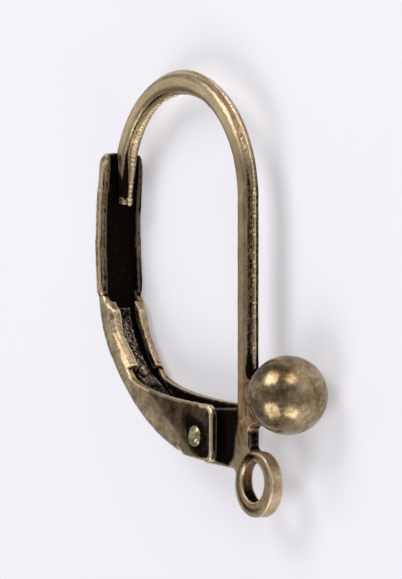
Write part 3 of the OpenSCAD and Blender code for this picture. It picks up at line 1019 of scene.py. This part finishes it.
class EARRING_OT_blade(Operator):
    """Shapes the end of the leg with its blade, ring and solder as one skin"""
    bl_idname = "earring.blade"
    bl_label = "Blade and ring"

    def execute(self, context):
        s = in_mm(context.scene.earring_wire)
        ball = in_mm(context.scene.earring_ball)
        surface = context.scene.earring_surface
        look = worn_metal("blade_brass", surface.bright, surface.middle,
                          wear=0.9, gloss=0.36, bump=0.012, speckle=0.4)
        clay = clay_from_node("ear_hook")
        every = list(clay.verts) + list(clay.edges) + list(clay.faces)
        cut = bmesh.ops.bisect_plane(clay, geom=every, plane_co=(0, s.seam, 0), plane_no=(0, 1, 0),
                                     clear_outer=True)
        rim = [item for item in cut["geom_cut"] if isinstance(item, bmesh.types.BMEdge)]
        bmesh.ops.holes_fill(clay, edges=rim)
        for x, height, radii, turn in SOLDER:
            add_lump(clay, (x, ball.y + height, 0.0), radii, turn)
        mesh = knead("blade", clay, s.grain, rounding=2)
        round_off(mesh, BLADE_MELTS, rounds=50)
        roughen(mesh, depth=0.008, scale=2.2, seed=3)
        mark_relief(mesh)
        face, hole = ring_marks(mesh)
        # Painted shade near the hook, lever and rivet, on the wall of the ring's hole and at the spots;
        # the ring's face is darker
        mark_shade_and_patina(mesh, walls_of("ear_hook", "lever", "rivet"), in_mm(surface).shade_reach,
                     BLADE_SHADE_AND_HIGHLIGHT_SPOTS, more=0.5 * face + 0.16 * hole)
        mark_blush(mesh, BLADE_BLUSH, hole)
        trim_blade(mesh, s, ball)
        finish_piece("blade", mesh, look, "hook", ("ear_hook",))
        return {"FINISHED"}


class EARRING_OT_ball(Operator):
    """Turns the polished ball that is soldered to the leg"""
    bl_idname = "earring.ball"
    bl_label = "Ball"

    def execute(self, context):
        ball = in_mm(context.scene.earring_ball)
        surface = context.scene.earring_surface
        look = worn_metal("polished_brass", surface.bright, BALL_BRASS,
                          wear=0.3, tarnish_and_shade=0.9, gloss=0.28, bump=0.003)
        clay = bmesh.new()
        bmesh.ops.create_uvsphere(clay, u_segments=192, v_segments=128, radius=ball.radius,
                                  matrix=Matrix.Translation((ball.x, ball.y, 0.0)))
        mesh = mesh_from("ball", clay)
        roughen(mesh, depth=0.008, scale=1.1, seed=11)
        store(mesh, "relief", np.zeros(len(mesh.vertices)))
        # Painted shade where the lever stands near, and the spots of painted reflection and shade
        mark_shade_and_patina(mesh, walls_of("lever"), reach=0.8, spots=BALL_PAINTED_REFLECTION_SPOTS)
        mark_blush(mesh)
        finish_piece("ball", mesh, look, "hook")
        return {"FINISHED"}


class EARRING_OT_lever(Operator):
    """Shapes the folded lever with its cup, channel, flaps and ears"""
    bl_idname = "earring.lever"
    bl_label = "Lever"

    def execute(self, context):
        surface = context.scene.earring_surface
        darker = [0.6 * part for part in surface.middle]
        look = worn_metal("dark_antique_brass", surface.bright, darker,
                          wear=0.95, gloss=0.36, bump=0.012)
        mesh = knead("lever_sheet", clay_from_node("lever"), in_mm(surface).finer, rounding=5)
        even_seams(mesh, LEVER_SEAMS, rounds=30)
        round_off(mesh, LEVER_ENDS, rounds=24)
        round_off(mesh, FLAP_STEPS, rounds=60)
        round_off(mesh, CUP_CORNERS, rounds=80)
        roughen(mesh, depth=0.007, scale=2.6, seed=5)
        face, rim = ear_marks(mesh)
        # The ears' front rim is painted bright: a worn edge with a painted highlight
        mark_relief(mesh, softness=1, gain=0.36, more=0.9 * rim)
        # Painted shade under walls, inside the channel, on forward faces and on the darker ears' faces,
        # less on their rims, with the spots
        mark_shade_and_patina(mesh, walls_of("ear_hook", "lever", "rivet"), in_mm(surface).shade_reach,
                     LEVER_SHADE_AND_LIGHT_SPOTS, walls_of("lever"), forward_face_shade(mesh) + 0.53 * face - 1.7 * rim)
        mark_blush(mesh, LEVER_BLUSH)
        finish_piece("lever_sheet", mesh, look, "lever", ("lever",))
        return {"FINISHED"}


class EARRING_OT_spring(Operator):
    """Shapes the rough leaf spring inside the channel"""
    bl_idname = "earring.spring"
    bl_label = "Spring"

    def execute(self, context):
        surface = context.scene.earring_surface
        look = worn_metal("tarnished_bronze", RUBBED_BRONZE, surface.bronze,
                          wear=1.0, gloss=0.35, bump=0.01)
        clay = clay_from_node("spring")
        add_lump(clay, (-2.72, -6.78, 0.12), (0.2, 0.26, 0.2), 0.5)
        mesh = knead("leaf_spring", clay, in_mm(surface).finest, rounding=2)
        roughen(mesh, depth=0.03, scale=5.0, seed=9)
        mark_relief(mesh)
        # Painted shade where the lever's walls stand near, and at the spots
        mark_shade_and_patina(mesh, walls_of("lever"), reach=1.0, spots=SPRING_SHADE_AND_HIGHLIGHT_SPOTS)
        mark_blush(mesh, SPRING_BLUSH)
        finish_piece("leaf_spring", mesh, look, "lever", ("spring",))
        return {"FINISHED"}


class EARRING_OT_rivet(Operator):
    """Shapes the peened rivet"""
    bl_idname = "earring.rivet"
    bl_label = "Rivet"

    def execute(self, context):
        surface = context.scene.earring_surface
        look = worn_metal("rubbed_brass", RUBBED_RIVET, RIVET_BRASS,
                          wear=0.5, tarnish_and_shade=0.6, gloss=0.33, bump=0.008)
        mesh = knead("peened_rivet", clay_from_node("rivet"), in_mm(surface).finest, rounding=2)
        roughen(mesh, depth=0.03, scale=2.6, seed=2)
        mark_relief(mesh)
        # Painted shade where the lever and the hook stand near
        mark_shade_and_patina(mesh, walls_of("lever", "ear_hook"), reach=0.6)
        mark_blush(mesh)
        finish_piece("peened_rivet", mesh, look, "lever", ("rivet",))
        return {"FINISHED"}


def add_lamp(name, towards, distance, size, watts):
    """An area lamp in a direction from the earring's middle, aimed at it."""
    lamp = bpy.data.lights.new(name, "AREA")
    lamp.shape = "RECTANGLE"
    lamp.size = size[0]
    lamp.size_y = size[1]
    lamp.energy = watts
    towards = Vector(towards).normalized()
    aim = towards.to_track_quat("Z", "Y").to_matrix().to_4x4()
    add_object(name, lamp).matrix_world = Matrix.Translation(LAMPS_AIM + towards * distance) @ aim


def add_floor(stage):
    """The pale floor, which glows a little, as a light table does."""
    clay = bmesh.new()
    bmesh.ops.create_grid(clay, x_segments=1, y_segments=1, size=0.6)
    mesh = mesh_from("floor", clay)
    material, _, shader = principled("pale_paper")
    for socket, value in (("Base Color", (*stage.paper, 1.0)), ("Roughness", 0.8),
                          ("Specular IOR Level", 0.1), ("Emission Color", (0.97, 0.96, 1.0, 1.0)),
                          ("Emission Strength", stage.glow)):
        shader.inputs[socket].default_value = value
    mesh.materials.append(material)
    add_object("floor", mesh)


def add_camera(stage):
    """The camera at the photograph's angle to the earring."""
    s = in_mm(stage)
    turn = LAY.to_3x3().normalized()
    rise = stage.view_rise
    towards = turn @ Vector((math.sin(stage.view_turn) * math.cos(rise), math.sin(rise),
                             math.cos(stage.view_turn) * math.cos(rise)))
    right = turn @ Vector((math.cos(stage.view_turn), 0.0, -math.sin(stage.view_turn)))
    up = towards.cross(right)
    centre = LAY @ Vector((0, 0, 0)) + (right * s.view_x - up * s.view_y) * MM
    camera = bpy.data.cameras.new("camera")
    camera.sensor_fit = "HORIZONTAL"
    camera.sensor_width = 36
    camera.lens = 36 * s.distance / s.view_width
    camera.clip_start = 0.01
    camera.clip_end = 10
    thing = add_object("camera", camera)
    pose = Matrix((right, up, towards)).transposed().to_4x4()
    thing.matrix_world = Matrix.Translation(centre + towards * s.distance * MM) @ pose
    bpy.context.scene.camera = thing


class EARRING_OT_stage(Operator):
    """Sets the pale floor, the soft studio light and the camera"""
    bl_idname = "earring.stage"
    bl_label = "Stage"

    def execute(self, context):
        stage = context.scene.earring_stage
        add_floor(stage)
        add_camera(stage)
        for lamp in LAMPS:
            add_lamp(*lamp)
        world = bpy.data.worlds.new("soft_room")
        world.use_nodes = True
        background = world.node_tree.nodes["Background"]
        background.inputs["Color"].default_value = (0.95, 0.95, 1.0, 1.0)
        background.inputs["Strength"].default_value = 0.2
        context.scene.world = world
        context.scene.view_settings.view_transform = "Standard"
        return {"FINISHED"}


class EARRING_PT_panel(Panel):
    """Lists the earring's pieces in the sidebar"""
    bl_idname = "EARRING_PT_panel"
    bl_label = "Leverback earring"
    bl_space_type = "VIEW_3D"
    bl_region_type = "UI"
    bl_category = "Earring"

    def draw(self, context):
        for step in STEPS:
            self.layout.operator(f"earring.{step}")
        for group in GROUPS:
            box = self.layout.box()
            for key in getattr(context.scene, group).__annotations__:
                box.prop(getattr(context.scene, group), key)


STEPS = ("stage", "wire", "blade", "ball", "lever", "spring", "rivet")
GROUPS = {
    "earring_wire": EarringWireSizes,
    "earring_ball": EarringBallSizes,
    "earring_surface": EarringSurface,
    "earring_stage": EarringStage,
}
OPERATORS = (EARRING_OT_stage, EARRING_OT_wire, EARRING_OT_blade, EARRING_OT_ball,
             EARRING_OT_lever, EARRING_OT_spring, EARRING_OT_rivet)


def register():
    """Registers the property groups, the operators and the panel."""
    for group in (*GROUPS.values(), *OPERATORS, EARRING_PT_panel):
        bpy.utils.register_class(group)
    for name, group in GROUPS.items():
        setattr(bpy.types.Scene, name, PointerProperty(type=group))


def unregister():
    """Takes the add-on's properties and classes away again."""
    for name in GROUPS:
        delattr(bpy.types.Scene, name)
    for group in (EARRING_PT_panel, *reversed(OPERATORS), *GROUPS.values()):
        bpy.utils.unregister_class(group)


def main():
    """Makes the stage and every piece."""
    register()
    for step in STEPS:
        getattr(bpy.ops.earring, step)()


if __name__ == "__main__":
    main()
